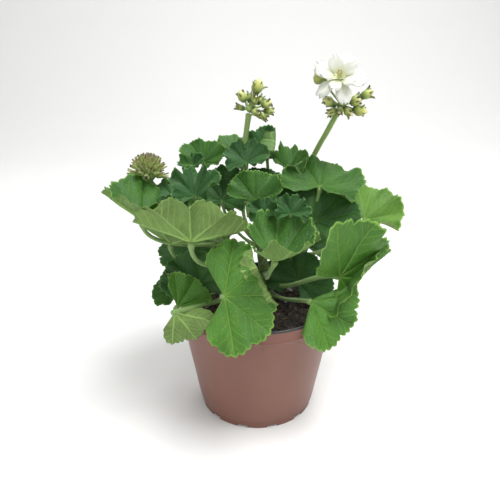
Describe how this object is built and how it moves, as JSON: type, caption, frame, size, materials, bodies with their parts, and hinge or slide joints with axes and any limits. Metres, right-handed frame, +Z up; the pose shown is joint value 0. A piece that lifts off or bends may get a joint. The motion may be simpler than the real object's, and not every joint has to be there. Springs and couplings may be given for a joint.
{
  "type": "potted geranium",
  "caption": "Zonal geranium in a round tapered plastic nursery pot of soil, with lobed leaves on long stalks, tight bud heads and a white semi-double flower.",
  "frame": {"origin": "on the surface the pot stands on, under the middle of the plant and of the pot", "axes": "+Z up; +X to the plant's right, the side of the open flower; -Y to its front"},
  "size_m": [0.2354, 0.1808, 0.2925],
  "materials": {
    "buds": "green buds with dark-tipped sepals, the ripest showing cream petals",
    "flower_heart": "pale yellow-green",
    "leaf": "velvety dark green above with light veins and a pale rim, grey-green below",
    "petal": "soft white",
    "pot": "satin terracotta brown outside, black inside and on the rim",
    "soil": "dark peat with bark fibres and a few pale perlite grains",
    "stalk": "light green, finely hairy",
    "stem": "green, finely hairy"
  },
  "bodies": {
    "root": {"buds_left": "buds", "buds_middle": "buds", "buds_right": "buds", "flower_heart": "flower_heart", "leaf_back_left": "leaf", "leaf_back_low_left": "leaf", "leaf_back_low_right": "leaf", "leaf_back_middle": "leaf", "leaf_back_right": "leaf", "leaf_front_hanging": "leaf", "leaf_front_ruffled": "leaf", "leaf_inner_centre": "leaf", "leaf_inner_left": "leaf", "leaf_inner_right": "leaf", "leaf_inner_shaded": "leaf", "leaf_left_behind_bud": "leaf", "leaf_left_fan": "leaf", "leaf_left_frilly": "leaf", "leaf_left_front": "leaf", "leaf_left_hanging": "leaf", "leaf_left_low": "leaf", "leaf_left_outer": "leaf", "leaf_left_ruffled": "leaf", "leaf_left_shaded": "leaf", "leaf_left_sliver": "leaf", "leaf_left_small": "leaf", "leaf_left_under": "leaf", "leaf_middle": "leaf", "leaf_middle_dark": "leaf", "leaf_right_back": "leaf", "leaf_right_big": "leaf", "leaf_right_front": "leaf", "leaf_right_hanging": "leaf", "leaf_right_lower": "leaf", "leaf_right_shaded": "leaf", "leaf_top_back": "leaf", "leaf_top_centre": "leaf", "leaf_top_left_curl": "leaf", "leaf_top_right": "leaf", "leaf_top_tall": "leaf", "leaf_young_left": "leaf", "leaf_young_right": "leaf", "petal_inner_1": "petal", "petal_inner_2": "petal", "petal_inner_3": "petal", "petal_inner_4": "petal", "petal_inner_5": "petal", "petal_outer_1": "petal", "petal_outer_2": "petal", "petal_outer_3": "petal", "petal_outer_4": "petal", "petal_outer_5": "petal", "pot": "pot", "soil": "soil", "stalk_left": "stalk", "stalk_middle": "stalk", "stalk_right": "stalk", "stem_left": "stem", "stem_middle": "stem", "stem_right": "stem"}
  },
  "joints": []
}
